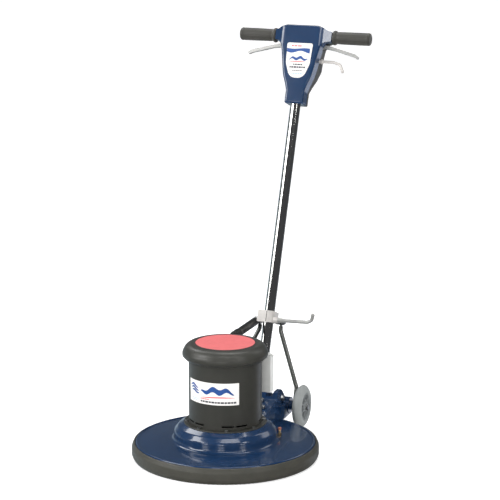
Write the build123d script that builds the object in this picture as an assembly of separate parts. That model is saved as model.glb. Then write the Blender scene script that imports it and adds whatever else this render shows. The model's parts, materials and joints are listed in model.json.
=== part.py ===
from build123d import *
import os
from math import acos, atan2, cos, degrees, hypot, pi, radians, sin, tan

os.makedirs("parts", exist_ok=True)

# Rotary floor machine.  Millimetres, +Z up.  The origin is on the floor, on the axis of the motor and
# brush.  The front of the machine is -Y, the handle leans back towards +Y.

# ---- driving dimensions -------------------------------------------------------------------------
BUMPER_R = 270.0
BUMPER_TOP = 46.5
DECK_R = 260.7
DECK_WALL = 4.0
DOME_R = 148.0
DOME_TOP = 104.0
DOME_BORE_R = 98.0

INLET_X = 142.0
INLET_Y = 67.0

DRUM_R = 105.0
DRUM_WALL = 3.5
DRUM_BOTTOM = 107.0
DRUM_TOP = 296.0
CAP_R = 123.0
CAP_BOTTOM = 294.0
CAP_TOP = 339.0
CAP_WALL = 3.5
DISC_R = 85.4
SHAFT_R = 8.5
BEARING_OUTER_R = 20.0
RUNNING_FIT = 0.05

GEAR_MODULE = 1.0
SUN_TEETH = 15
PLANET_TEETH = 60
RING_TEETH = 135
ADDENDUM = 0.8
DEDENDUM = 1.25
BACKLASH = 0.15
PLANET_CENTRE_R = GEAR_MODULE * (SUN_TEETH + PLANET_TEETH) / 2
PLANET_ANGLES = (0, 120, 240)
GEAR_BOTTOM = 71.0
GEAR_TOP = 87.0
PLANET_PIN_R = 5.0
SPINDLE_R = 15.0
SPINDLE_BEARING_R = 27.5

AXLE_Y = 306.0
AXLE_Z = 75.0
AXLE_R = 6.35
WHEEL_R = 64.5
WHEEL_INNER_X = 112.0
WHEEL_OUTER_X = 142.0

PIVOT_Y = 282.2
PIVOT_Z = 100.0
PIVOT_BOLT_R = 5.0
PIVOT_FACE = 70.5
LEAN = 20.96
TUBE_R = 15.875
TUBE_WALL = 1.6
TUBE_FOOT = -22.0
TUBE_TOP = 950.0

# The handle's own frame: x across, q square to the tube and rearward, s up the tube from the pivot.
GRIP_S = 1109.4
GRIP_Q = 14.1
BAR_R = 11.0
BAR_HALF = 205.0
HEAD_FRONT_Q = -26.0
HEAD_REAR_Q = 66.0
HEAD_WALL = 3.5

CLAMP_S = 240.0
CLAMP_HEIGHT = 35.0
CLAMP_GAP = 0.1
CROSS_BOLT_S = 229.5
CROSS_BOLT_Q = 23.2
CROSS_BOLT_R = 4.0
STRUT_TUBE_R = 6.35
STRUT_TOP_X = 33.5
STRUT_LOW_X = 104.0
STRUT_PLATE = 4.0
STRUT_LOW_HOLE_R = 10.45

# The rear casting, the capacitor box and the drum's label.
YOKE_BOLTS = ((-30, 222), (30, 222), (-50, 178), (50, 178))
BOX_CORNERS = [(40, 81), (109, 81), (109, 104), (87, 126), (30, 126), (30, 81)]
BOX_LOW = 178.0
BOX_HIGH = 282.0
DRUM_LABEL_ANGLES = (-48.5, 42.6)
DRUM_LABEL_LOW = 182.0
DRUM_LABEL_HIGH = 246.0

# The head.  Heights called W are measured up the handle from the grips' axis.
HOOK_W = -76.0
GLAND_PLACE = (56.5, GRIP_S - 107)
GLAND_TILT = -113.0
HEAD_SCREWS = ((-21, -178), (21, -178), (-21, -206), (21, -206))
TRIGGER_PIVOT_X = 60.0
TRIGGER_PIVOT_W = -30.0
LABEL_W = (-30.0, -138.0)

# The cord hook on the clamp, and the lever.
LOWER_HOOK_Q = -4.0
LOWER_HOOK_S = 232.0
LEVER_X = -45.0
LEVER_LENGTH = 200.0

# Deck section from the dome's bore out over the skirt, and back underneath, as (radius, height).
DECK_OUTER = [
    (DOME_BORE_R, DOME_TOP),
    (120, DOME_TOP),
    (136, 95),
    (DOME_R, 80),
    (DOME_R, 54.2),
    (258, 46.3),
    (DECK_R, 44),
    (DECK_R, 14),
]
DECK_INNER = [
    (DECK_R - DECK_WALL, 14),
    (DECK_R - DECK_WALL, 41.5),
    (DOME_R - 5, 49.7),
    (DOME_R - 5, 78),
    (132, 91),
    (118, 98),
    (DOME_BORE_R, 98),
]
DECK_ROUNDS = {1: 4, 2: 10, 3: 14, 4: 12, 11: 8}

# Right half of the head seen square to its front, as (x, height above the grips' axis).
HEAD_HALF = [
    (50, 28), (64, 23), (78, 15), (90, 14), (90, -16), (72, -22), (63, -36), (56, -70),
    (51, -100), (45, -130), (35, -157), (29.5, -176), (29.5, -216),
]
HEAD_RADII = (11, 11, 10, 2, 2, 10, 16, 40, 40, 30, 14, 12, 4)

# Side view of the head's rear cover as (q, height above the grips' axis).
REAR_SIDE = [
    (GRIP_Q, 30), (30, 30), (52, 22), (HEAD_REAR_Q, -12), (HEAD_REAR_Q + 1, -82), (46, -132),
    (31, -172), (29.5, -220), (GRIP_Q, -220),
]


# ---- shared helpers -----------------------------------------------------------------------------
def save(node, shape):
    """Write one named piece."""
    shape.label = node
    export_step(shape, "parts/" + node + ".step")


def column(radius, low, high, x=0.0, y=0.0):
    """A cylinder along Z between two heights."""
    return Pos(x, y, (low + high) / 2) * Cylinder(radius, high - low)


def ring(outer, inner, low, high, x=0.0, y=0.0):
    """A tube along Z between two heights."""
    return column(outer, low, high, x, y) - column(inner, low - 1, high + 1, x, y)


def rod_x(radius, low, high, y=0.0, z=0.0):
    """A cylinder along X between two x values."""
    return Pos((low + high) / 2, y, z) * Rot(0, 90, 0) * Cylinder(radius, high - low)


def block(x_range, y_range, z_range):
    """A box given by its ranges."""
    size = [high - low for low, high in (x_range, y_range, z_range)]
    middle = [(high + low) / 2 for low, high in (x_range, y_range, z_range)]
    return Pos(*middle) * Box(*size)


def outline(points, rounds=None):
    """A closed flat outline in XY, with chosen corners rounded: {point index: radius}."""
    face = make_face(Polyline(*points, close=True))
    for index, radius in (rounds or {}).items():
        corner = face.vertices().sort_by_distance(points[index])[0]
        face = fillet(corner, radius)
    return face


def turned(points, rounds=None):
    """A solid of revolution about Z from (radius, height) points."""
    return revolve(Plane.XZ * outline(points, rounds), Axis.Z)


def around(piece, count, start=0.0):
    """Copies of a piece spaced evenly about Z."""
    return [Rot(0, 0, start + 360 / count * number) * piece for number in range(count)]


def group(pieces):
    """Separate solids kept together in one node."""
    return Compound(children=[piece for piece in pieces])


def head_screw(radius, head_radius, head_height, length):
    """A socket-head screw pointing down, with its head resting on z = 0."""
    screw = column(head_radius, 0, head_height) + column(radius, -length, 0)
    socket = extrude(RegularPolygon(head_radius * 0.5, 6), head_height * 0.6)
    return screw - Pos(0, 0, head_height * 0.45) * socket


def hex_bolt(radius, across, head_height, length):
    """A hexagon-head bolt pointing down, with its head resting on z = 0."""
    head = extrude(RegularPolygon(across / 2 / cos(radians(30)), 6), head_height)
    crown = turned([(0, -1), (across * 0.6, -1), (across * 0.5, head_height), (0, head_height)])
    return (head & crown) + column(radius, -length, 0)


def upright_plane(y, s=0.0):
    """A plane square to Y at depth y, seen from the front; extrusion runs forward."""
    return Plane(origin=(0, y, s), x_dir=(1, 0, 0), z_dir=(0, -1, 0))


handle_frame = Location((0, PIVOT_Y, PIVOT_Z), (-LEAN, 0, 0))
lean_sin = sin(radians(LEAN))
lean_cos = cos(radians(LEAN))


def to_machine(q, s):
    """Machine y and z of a point in the handle's middle plane."""
    y = PIVOT_Y + q * lean_cos + s * lean_sin
    z = PIVOT_Z - q * lean_sin + s * lean_cos
    return y, z


bolt_y, bolt_z = to_machine(CROSS_BOLT_Q, CROSS_BOLT_S)


# ---- deck, bumper and rear casting ----------------------------------------------------------------


def make_deck():
    deck = turned(DECK_OUTER + DECK_INNER, DECK_ROUNDS)
    screw_holes = around(column(3.1, 90, 110, 111), 8, 22.5)
    return deck - screw_holes - column(4.2, 30, 70, INLET_X, INLET_Y)


def make_bumper():
    """A soft channel that the deck's skirt sits in, with a lip round the painted edge."""
    lip = DECK_R
    points = [
        (250, 0),
        (264, 0),
        (BUMPER_R, 12),
        (BUMPER_R, 34),
        (264.5, BUMPER_TOP),
        (lip, BUMPER_TOP),
        (lip, 14),
        (lip - DECK_WALL, 14),
        (lip - DECK_WALL, 26),
        (250, 26),
    ]
    return turned(points, {1: 7, 2: 11, 3: 11, 4: 2.5, 9: 2})


def machine_envelope():
    """What the rear casting is seated on: the outside of the deck, its dome and the bumper."""
    rounds = {index + 1: DECK_ROUNDS[index] for index in (1, 2, 3, 4)}
    deck = turned([(0, 0), (0, DOME_TOP)] + DECK_OUTER[1:-1] + [(DECK_R, 0)], rounds)
    bumper = column(BUMPER_R + 0.6, -1, BUMPER_TOP + 0.4)
    return deck + bumper


def make_rear_yoke():
    """The painted casting behind the deck: axle boss, saddle on the dome and ears for the handle."""
    side = outline(
        [
            (100, 40), (100, 84), (140, 90), (200, 101), (240, 106), (262, 126),
            (296, 126), (306, 101), (322, 96), (330, 60), (318, 48.5), (262, 47), (200, 47),
        ],
        {2: 20, 3: 40, 4: 12, 5: 10, 6: 10, 7: 8, 8: 14, 9: 16, 10: 12},
    )
    body = extrude(Plane.YZ * side, 90, both=True)
    plan = outline(
        [(-78, 90), (-78, 205), (-92, 262), (-92, 340), (92, 340), (92, 262), (78, 205), (78, 90)],
        {1: 30, 2: 25, 5: 25, 6: 30},
    )
    body = body & extrude(plan, 160)
    crest = outline(
        [(-92, 30), (-92, 52), (-76, 84), (-72, 108), (-66, 127), (66, 127), (72, 108), (76, 84), (92, 52),
         (92, 30)],
        {2: 20, 4: 5, 5: 5, 7: 20},
    )
    saddle = body & extrude(upright_plane(400) * crest, 320)
    boss = rod_x(25, -92, 92, AXLE_Y, AXLE_Z) + rod_x(14, -101.6, 101.6, AXLE_Y, AXLE_Z)
    wings = block((-92, 92), (238, AXLE_Y), (48.5, 88)) & body
    casting = saddle + boss + wings
    pocket = block((33, 54), (248, 340), (107, 140))
    casting = casting - pocket - mirror(pocket, Plane.YZ)
    handle_slot = block((-17.8, 17.8), (248, 360), (52, 140))
    well = column(36, 72, 140, 0, PIVOT_Y) & block((-17.8, 17.8), (230, 340), (60, 140))
    axle_bore = rod_x(AXLE_R, -120, 120, AXLE_Y, AXLE_Z)
    pivot_bore = rod_x(PIVOT_BOLT_R, -90, 90, PIVOT_Y, PIVOT_Z)
    box_relief = block((26, 110), (60, 130), (DOME_TOP, 180))
    spot_face = rod_x(12, PIVOT_FACE, 95, PIVOT_Y, PIVOT_Z)
    bolt_holes = [column(4, 60, 140, x, y) for x, y in YOKE_BOLTS]
    casting = casting - handle_slot - well - axle_bore - pivot_bore - box_relief
    casting = casting - spot_face - mirror(spot_face, Plane.YZ)
    return casting - bolt_holes - machine_envelope() - column(DRUM_R + 16, DOME_TOP - 2, 150)


def make_yoke_bolts():
    bolts = []
    for x, y in YOKE_BOLTS:
        seat = 92 + (y - 140) * 0.18
        bolts.append(Pos(x, y, seat) * hex_bolt(4, 13, 6, 20))
    return bolts


# ---- motor -----------------------------------------------------------------------------------------
def make_motor_flange():
    flange = turned(
        [
            (SHAFT_R + 6, 96), (DOME_BORE_R, 96), (DOME_BORE_R, DOME_TOP), (119.5, DOME_TOP),
            (119.5, DRUM_BOTTOM), (60, DRUM_BOTTOM), (30, 116), (BEARING_OUTER_R, 116),
            (BEARING_OUTER_R, 100), (SHAFT_R + 6, 100),
        ],
        {4: 1.5, 5: 8, 6: 3},
    )
    screw_holes = around(column(3.1, 90, 110, 111), 8, 22.5)
    return flange - screw_holes


def make_flange_screws():
    screw = Pos(111, 0, DRUM_BOTTOM) * head_screw(3, 5, 3.2, 14)
    return around(screw, 8, 22.5)


def make_motor_shell():
    shell = ring(DRUM_R, DRUM_R - DRUM_WALL, DRUM_BOTTOM, DRUM_TOP)
    slot = block((-17.5, 17.5), (-DRUM_R - 5, -DRUM_R + 8), (115.5, 120.5))
    pair = [Rot(0, 0, turn) * slot for turn in (-11.5, 11.5)]
    vents = [Rot(0, 0, turn) * piece for turn in range(0, 360, 72) for piece in pair]
    return shell - [Rot(0, 0, 36) * vent for vent in vents]


def make_stator_core():
    core = ring(DRUM_R - DRUM_WALL, 60, 165, 255)
    slot = block((58, 88), (-3, 3), (160, 260))
    return core - around(slot, 24)


def make_stator_windings():
    """Lower and upper end turns joined by one conductor bundle in each slot of the core."""
    lower = turned([(64, 141), (88, 141), (88, 165), (64, 165)], {0: 7, 1: 7})
    upper = turned([(64, 255), (88, 255), (88, 276), (64, 276)], {2: 7, 3: 7})
    winding = lower + upper
    for bar in around(block((64, 86), (-2.4, 2.4), (160, 260)), 24):
        winding = winding + bar
    return winding


def make_ball_bearing(inner, outer, low, high):
    """A sealed ball bearing as one piece, grooved on both faces."""
    middle = (inner + outer) / 2
    bearing = ring(outer, inner, low, high)
    width = (outer - inner) * 0.22
    for z in (low, high):
        bearing = bearing - ring(middle + width, middle - width, z - 0.6, z + 0.6)
    return bearing


def make_motor_bearings():
    inner = SHAFT_R + RUNNING_FIT
    return [make_ball_bearing(inner, BEARING_OUTER_R, low, low + 12) for low in (100, 278)]


def make_upper_end_bell():
    bell = turned(
        [
            (SHAFT_R + 4, 293), (SHAFT_R + 4, 290), (BEARING_OUTER_R, 290), (BEARING_OUTER_R, 278),
            (26, 278), (26, 284), (60, 284), (DRUM_R - DRUM_WALL, 283),
            (DRUM_R - DRUM_WALL, DRUM_TOP), (60, DRUM_TOP + 1), (30, 293),
        ],
        {10: 5},
    )
    window = ring(84, 44, 270, 300) & block((30, 100), (-13, 13), (260, 310))
    return bell - around(window, 6, 15)


def make_motor_cap():
    """The fan cover: a domed cap whose rolled lip returns under to the drum, with air slots."""
    outer = [(DRUM_R + 0.4, CAP_BOTTOM), (114, CAP_BOTTOM), (CAP_R, 303), (CAP_R, 313), (112, 336),
             (88, CAP_TOP)]
    top = [(DISC_R + 0.4, CAP_TOP), (DISC_R + 0.4, 337), (0, 337)]
    inner = [(0, 333.5), (86, 333.5), (108, 331), (CAP_R - CAP_WALL, 312), (CAP_R - CAP_WALL, 304),
             (113, 297.5), (DRUM_R + 0.4, 297.5)]
    cap = turned(outer + top + inner, {1: 7, 2: 7, 3: 14, 4: 26, 10: 5, 11: 20, 12: 10, 13: 6})
    intake = block((107.5, 113.5), (-5, 5), (CAP_BOTTOM - 2, CAP_BOTTOM + 5))
    return cap - around(intake, 20)


def make_cap_disc():
    return turned([(0, 337), (DISC_R, 337), (DISC_R, CAP_TOP), (0, CAP_TOP)], {2: 0.6})


def make_motor_shaft():
    return turned(
        [(0, 69.5), (4, 69.5), (4, GEAR_TOP + 2), (SHAFT_R, GEAR_TOP + 2), (SHAFT_R, 318), (0, 318)],
        {1: 0.8, 4: 1.2},
    )


def make_rotor_core():
    """Laminated core with cast end rings and fins."""
    core = ring(59.3, SHAFT_R, 158, 262)
    fin = block((36, 56), (-1.5, 1.5), (147, 273))
    for piece in around(fin, 9):
        core = core + piece
    return core - ring(36, SHAFT_R, 140, 280) + ring(36, SHAFT_R, 158, 262)


def make_cooling_fan():
    fan = ring(18, SHAFT_R, 297, 316) + ring(92, SHAFT_R, 297, 299.5)
    blade = Rot(0, 0, 18) * block((22, 90), (-1.2, 1.2), (298, 314))
    for piece in around(blade, 12):
        fan = fan + piece
    return fan


# ---- planetary gearbox ---------------------------------------------------------------------------
def involute(angle):
    return tan(angle) - angle


def gear_points(teeth, tip, root, backlash):
    """Outline of a spur gear with its first tooth centred on +X: root, pitch and tip on each flank."""
    pressure = radians(20)
    pitch = GEAR_MODULE * teeth / 2
    base = pitch * cos(pressure)
    points = []
    for tooth in range(teeth):
        centre = 2 * pi * tooth / teeth
        flank = []
        for radius in (root, pitch, tip):
            roll = acos(base / max(radius, base))
            half = pi / (2 * teeth) - backlash / (2 * pitch) + involute(pressure) - involute(roll)
            flank.append((radius, half))
        for radius, half in flank:
            points.append((radius * cos(centre - half), radius * sin(centre - half)))
        for radius, half in reversed(flank):
            points.append((radius * cos(centre + half), radius * sin(centre + half)))
    return points


def gear_face(teeth, backlash, internal=False):
    pitch = GEAR_MODULE * teeth / 2
    outward = (DEDENDUM if internal else ADDENDUM) * GEAR_MODULE
    inward = (ADDENDUM if internal else DEDENDUM) * GEAR_MODULE
    return outline(gear_points(teeth, pitch + outward, pitch - inward, backlash))


def make_sun_pinion():
    blank = extrude(gear_face(SUN_TEETH, BACKLASH), GEAR_TOP - GEAR_BOTTOM + 1)
    return Pos(0, 0, GEAR_BOTTOM - 0.5) * blank - column(4, 60, 100)


def make_planet_gear(angle):
    blank = extrude(gear_face(PLANET_TEETH, BACKLASH), GEAR_TOP - GEAR_BOTTOM)
    blank = Pos(0, 0, GEAR_BOTTOM) * blank
    blank = blank - ring(24, 12, GEAR_TOP - 3, GEAR_TOP + 1) - column(PLANET_PIN_R + RUNNING_FIT, 60, 100)
    half_pitch = 180 / PLANET_TEETH
    return Rot(0, 0, angle) * Pos(PLANET_CENTRE_R, 0, 0) * Rot(0, 0, 180 + half_pitch) * blank


def make_ring_gear():
    spaces = Rot(0, 0, 180 / RING_TEETH) * extrude(gear_face(RING_TEETH, -BACKLASH, internal=True), 30)
    return column(76, GEAR_BOTTOM - 1, GEAR_TOP + 2) - Pos(0, 0, 65) * spaces


def make_gear_case():
    case = turned(
        [(76, 60), (82, 60), (82, 90), (116, 90), (116, 98), (DOME_BORE_R + 0.5, 98),
         (DOME_BORE_R + 0.5, 95.8), (76, 95.8)],
        {2: 5},
    )
    return case - around(column(3.1, 80, 110, 111), 8, 22.5)


def make_gear_case_cover():
    cover = turned(
        [(SPINDLE_R + 4, 36), (34, 36), (36, 50), (82, 54), (82, 60), (SPINDLE_BEARING_R, 60),
         (SPINDLE_BEARING_R, 40), (SPINDLE_R + 4, 40)],
        {1: 2, 2: 6, 3: 2},
    )
    rib = block((35, 80), (-2.5, 2.5), (45, 53))
    for piece in around(rib, 6, 30):
        cover = cover + piece
    return cover - column(SPINDLE_R + 9, 30, 40)


def make_spindle_seal():
    return turned(
        [(SPINDLE_R + 0.3, 36.2), (SPINDLE_R + 9, 36.2), (SPINDLE_R + 9, 40), (SPINDLE_R + 0.3, 40)],
    )


def make_spindle():
    spindle = turned(
        [(0, 14), (SPINDLE_R, 14), (SPINDLE_R, 56.2), (20, 56.2), (20, 60.5), (SPINDLE_R, 60.5),
         (SPINDLE_R, 67), (0, 67)],
    )
    return spindle - column(5, 0, 44)


def make_planet_carrier():
    carrier = turned([(SPINDLE_R, 60.8), (52, 60.8), (52, 68), (SPINDLE_R, 68)], {1: 1.5, 2: 1.5})
    pins = [column(PLANET_PIN_R, 50, 80, PLANET_CENTRE_R) for angle in PLANET_ANGLES]
    holes = [Rot(0, 0, angle) * pin for angle, pin in zip(PLANET_ANGLES, pins)]
    return carrier - holes


def make_planet_pins():
    pin = turned([(0, 61), (PLANET_PIN_R, 61), (PLANET_PIN_R, 89), (0, 89)], {2: 0.8})
    return [Rot(0, 0, angle) * Pos(PLANET_CENTRE_R, 0, 0) * pin for angle in PLANET_ANGLES]


def make_drive_hub():
    """Three-lobed hub that a pad driver or brush block twists onto."""
    hub = ring(26, SPINDLE_R, 14, 34)
    lobe = block((18, 44), (-13, 13), (14, 22)) + column(13, 14, 22, 44)
    for piece in around(lobe, 3, 90):
        hub = hub + piece
    return hub


def make_hub_bolt():
    washer = ring(19, 5.2, 11.5, 14)
    bolt = Pos(0, 0, 11.5) * Rot(180, 0, 0) * hex_bolt(5, 16, 4.5, 30)
    return [washer, bolt]


# ---- capacitor box and solution inlet --------------------------------------------------------------


def box_outline(grow):
    """Plan of the capacitor box, grown or shrunk by a wall."""
    return offset(outline(BOX_CORNERS), grow, kind=Kind.INTERSECTION)


def make_capacitor_box():
    outer = Pos(0, 0, BOX_LOW) * extrude(box_outline(0), BOX_HIGH - BOX_LOW)
    outer = fillet(outer.edges().filter_by(Axis.Z).filter_by(lambda edge: edge.center().X > 80), 3)
    inner = Pos(0, 0, BOX_LOW + 2) * extrude(box_outline(-1.8), 200)
    body = outer - column(DRUM_R, 100, 300)
    return body - (inner - column(DRUM_R + 1.8, 100, 400))


def make_capacitor_lid():
    lid = Pos(0, 0, BOX_HIGH) * extrude(box_outline(1.5), 2.5)
    lid = fillet(lid.edges().filter_by(Axis.Z).filter_by(lambda edge: edge.center().X > 80), 4)
    return lid - column(DRUM_R + 0.2, 100, 300)


def make_capacitor():
    body = turned([(0, 181), (17, 181), (17, 262), (14, 265), (0, 265)], {1: 2, 2: 1})
    blades = block((-8, -7.2), (-3, 3), (264, 272)) + block((7.2, 8), (-3, 3), (264, 272))
    return Pos(76.5, 101.5, 0) * (body + column(10, 263, 266) + blades)


def make_solution_inlet():
    """Brass elbow stub that a solution tank's hose would push onto, with a dust plug."""
    stem = turned(
        [(0, 48), (4.2, 48), (4.2, 66), (3.2, 67), (4.4, 70), (3.2, 74), (0, 74)],
    )
    flats = Pos(0, 0, 58) * extrude(RegularPolygon(6.2, 6), 5)
    return Pos(INLET_X, INLET_Y, 0) * (stem + flats)


def make_inlet_plug():
    return Pos(INLET_X, INLET_Y, 0) * turned([(0, 74), (5, 74), (5.2, 81), (0, 82)], {1: 1, 2: 1.5})


# ---- wheels ----------------------------------------------------------------------------------------
def make_wheel(side):
    """Moulded wheel: rounded shoulders, a recessed ring and a raised hub with pockets."""
    bore = AXLE_R + RUNNING_FIT
    half = (WHEEL_OUTER_X - WHEEL_INNER_X) / 2
    section = [
        (bore, -half), (16, -half), (18, -half + 6), (38, -half + 5), (42, -half + 1),
        (WHEEL_R - 9, -half + 1), (WHEEL_R, -6), (WHEEL_R, 6), (WHEEL_R - 9, half - 1),
        (42, half - 1), (38, half - 5), (22, half - 6), (18, half), (bore, half),
    ]
    wheel = turned(section, {2: 2, 3: 3, 4: 3, 5: 4, 6: 9, 7: 9, 8: 4, 9: 3, 10: 3, 11: 2, 12: 2})
    pocket = column(4.5, half - 10, half, 30)
    wheel = wheel - around(pocket, 6)
    centre = side * (WHEEL_INNER_X + WHEEL_OUTER_X) / 2
    return Pos(centre, AXLE_Y, AXLE_Z) * Rot(0, side * 90, 0) * wheel


def make_axle():
    axle = rod_x(AXLE_R, -145, 145, AXLE_Y, AXLE_Z)
    return chamfer(axle.edges(), 1)


def make_axle_caps():
    profile = [(AXLE_R, 0.4), (11, 0.4), (11, 2.5), (7.5, 5.5), (0, 6.5), (0, 5), (AXLE_R, 5)]
    cap = turned(profile, {2: 1, 3: 2})
    caps = []
    for side in (-1, 1):
        place = Pos(side * WHEEL_OUTER_X, AXLE_Y, AXLE_Z)
        caps.append(place * Rot(0, side * 90, 0) * cap)
    return caps


def make_pivot_bolt():
    """The bolt that the handle tube tips on, through both ears of the rear casting."""
    bolt = rod_x(PIVOT_BOLT_R, -PIVOT_FACE, PIVOT_FACE + 9, PIVOT_Y, PIVOT_Z)
    head = Pos(-PIVOT_FACE, PIVOT_Y, PIVOT_Z) * Rot(0, -90, 0) * hex_bolt(PIVOT_BOLT_R, 16, 6.5, 4)
    nut = Pos(PIVOT_FACE, PIVOT_Y, PIVOT_Z) * Rot(0, 90, 0) * extrude(RegularPolygon(9, 6), 6)
    nut = nut - rod_x(PIVOT_BOLT_R, 40, 90, PIVOT_Y, PIVOT_Z)
    return [bolt + head, nut]


# ---- handle tube and head ---------------------------------------------------------------------------
def make_handle_tube():
    tube = ring(TUBE_R, TUBE_R - TUBE_WALL, TUBE_FOOT, TUBE_TOP)
    return handle_frame * (tube - rod_x(PIVOT_BOLT_R + RUNNING_FIT, -30, 30))


def head_outline(grow=0.0):
    """The head's full outline, rounded and then grown or shrunk."""
    left = [(-x, w) for x, w in reversed(HEAD_HALF)]
    points = HEAD_HALF + left
    radii = HEAD_RADII + tuple(reversed(HEAD_RADII))
    face = outline(points, dict(enumerate(radii)))
    if grow:
        face = offset(face, grow)
    return face


def head_plane(q):
    """A plane square to the head's front, at depth q, centred on the grips' axis."""
    return upright_plane(q, GRIP_S)


def head_insides():
    """Cuts that both halves of the head share: bar, tube, trigger, hook, pin and screw openings."""
    cuts = [rod_x(BAR_R, -120, 120, GRIP_Q, GRIP_S), column(TUBE_R, 800, TUBE_TOP)]
    for x, w in HEAD_SCREWS:
        cuts.append(Pos(x, 20, GRIP_S + w) * Rot(90, 0, 0) * Cylinder(2.1, 34))
        cuts.append(Pos(x, 31.4, GRIP_S + w) * Rot(90, 0, 0) * Cylinder(4, 4))
    for side in (-1, 1):
        pivot = Pos(side * TRIGGER_PIVOT_X, GRIP_Q, GRIP_S + TRIGGER_PIVOT_W)
        cuts.append(pivot * Rot(90, 0, 0) * Cylinder(3, 32.4))
    for side in (-1, 1):
        window = block((50, 92), (GRIP_Q - 6.2, GRIP_Q + 6.2), (GRIP_S - 42, GRIP_S - 18))
        cuts.append(window if side > 0 else mirror(window, Plane.YZ))
    cuts.append(rod_x(5.1, 45, 75, GRIP_Q, GRIP_S + HOOK_W))
    return cuts


def fill_blocks():
    """Places where the head is solid inside: the neck, and the sockets that hold the bar."""
    neck = block((-40, 40), (-60, 60), (GRIP_S - 230, GRIP_S - 168))
    socket = block((66, 92), (-60, 60), (GRIP_S - 30, GRIP_S + 30))
    return neck + socket + mirror(socket, Plane.YZ)


def trigger_bosses(low_q, high_q):
    """Posts inside the head that hold the trigger pins."""
    bosses = []
    for side in (-1, 1):
        middle = Pos(side * TRIGGER_PIVOT_X, (low_q + high_q) / 2, GRIP_S + TRIGGER_PIVOT_W)
        bosses.append(middle * Rot(90, 0, 0) * Cylinder(7, high_q - low_q))
    return Part() + bosses


def make_head_front():
    plan = outline(
        [(-95, GRIP_Q), (-95, -3), (-88, -8), (-62, HEAD_FRONT_Q), (62, HEAD_FRONT_Q), (88, -8), (95, -3),
         (95, GRIP_Q)],
        {3: 24, 4: 24},
    )
    shell = extrude(head_plane(GRIP_Q) * head_outline(), GRIP_Q - HEAD_FRONT_Q)
    front = shell.faces().sort_by(Axis.Y)[0]
    shell = fillet(front.edges(), 7)
    shell = shell & (Pos(0, 0, 800) * extrude(plan, 400))
    bosses = trigger_bosses(HEAD_FRONT_Q + 1, GRIP_Q - 6.2) & shell
    depth = GRIP_Q - HEAD_FRONT_Q - HEAD_WALL
    hollow = extrude(head_plane(GRIP_Q) * head_outline(-HEAD_WALL), depth)
    hollow = hollow & (Pos(0, HEAD_WALL, 800) * extrude(plan, 400))
    shell = shell - (hollow - fill_blocks()) + bosses
    return handle_frame * (shell - head_insides())


def rear_side(grow, open_face=0.0):
    """Side view of the rear cover as (q, height above the grips' axis)."""
    points = [(q + (grow if q > GRIP_Q else -open_face), w) for q, w in REAR_SIDE]
    rounds = {2: 16, 3: 24, 4: 24, 5: 30, 6: 20}
    plane = Plane(origin=(0, 0, GRIP_S), x_dir=(0, 1, 0), z_dir=(1, 0, 0))
    return plane * outline(points, rounds)


def make_head_rear():
    reach = HEAD_REAR_Q + 4 - GRIP_Q
    shell = extrude(head_plane(GRIP_Q + reach) * head_outline(-0.8), reach)
    shell = shell & extrude(rear_side(0.0), 100, both=True)
    narrow = outline(
        [(-95, GRIP_Q), (-95, 32), (-58, 44), (-44, 72), (44, 72), (58, 44), (95, 32), (95, GRIP_Q)],
        {2: 16, 3: 14, 4: 14, 5: 16},
    )
    shell = shell & (Pos(0, 0, 800) * extrude(narrow, 400))
    bosses = trigger_bosses(GRIP_Q + 6.2, 60) & shell
    hollow = extrude(head_plane(GRIP_Q + reach) * head_outline(-0.8 - HEAD_WALL), reach + 1)
    hollow = hollow & extrude(rear_side(-HEAD_WALL, 1.0), 100, both=True)
    hollow = hollow & (Pos(0, -HEAD_WALL, 800) * extrude(narrow, 400))
    shell = shell - (hollow - fill_blocks()) + bosses
    gland_y, gland_s = GLAND_PLACE
    gland_hole = Pos(0, gland_y, gland_s) * Rot(GLAND_TILT, 0, 0) * Cylinder(8, 30)
    return handle_frame * (shell - head_insides() - gland_hole)


def make_head_screws():
    screws = []
    for x, w in HEAD_SCREWS:
        screws.append(handle_frame * Pos(x, 29.6, GRIP_S + w) * Rot(-90, 0, 0) * head_screw(2, 3.8, 2.6, 24))
    return screws


def make_handlebar():
    bar = rod_x(BAR_R, -BAR_HALF, BAR_HALF, GRIP_Q, GRIP_S) - rod_x(BAR_R - 1.8, -300, 300, GRIP_Q, GRIP_S)
    return handle_frame * bar


def make_hand_grips():
    grips = []
    for side in (-1, 1):
        grip = turned(
            [(BAR_R, 0), (21.5, 0), (22.5, 3), (22, 9), (18.2, 13), (18.8, 24), (19.5, 70), (19.3, 112),
             (16.5, 118), (0, 118), (0, 114.5), (BAR_R, 114.5)],
            {1: 2, 3: 2, 4: 3, 7: 5, 8: 2},
        )
        place = Pos(side * 91.5, GRIP_Q, GRIP_S) * Rot(0, side * 90, 0)
        grips.append(handle_frame * place * grip)
    return grips


def make_head_label():
    top, bottom = LABEL_W
    points = [(-41, top), (41, top), (38, bottom + 44), (22, bottom), (-22, bottom), (-38, bottom + 44)]
    shield = outline(points, {0: 6, 1: 6, 2: 24, 3: 26, 4: 26, 5: 24})
    plate = extrude(head_plane(HEAD_FRONT_Q) * shield, 0.4)
    return handle_frame * plate


def make_drum_label():
    ends = [(300 * sin(radians(angle)), -300 * cos(radians(angle))) for angle in DRUM_LABEL_ANGLES]
    wedge = outline([(0, 0), ends[0], (0, -500), ends[1]])
    plate = ring(DRUM_R + 0.45, DRUM_R, DRUM_LABEL_LOW, DRUM_LABEL_HIGH)
    return plate & (Pos(0, 0, 150) * extrude(wedge, 200))


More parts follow.
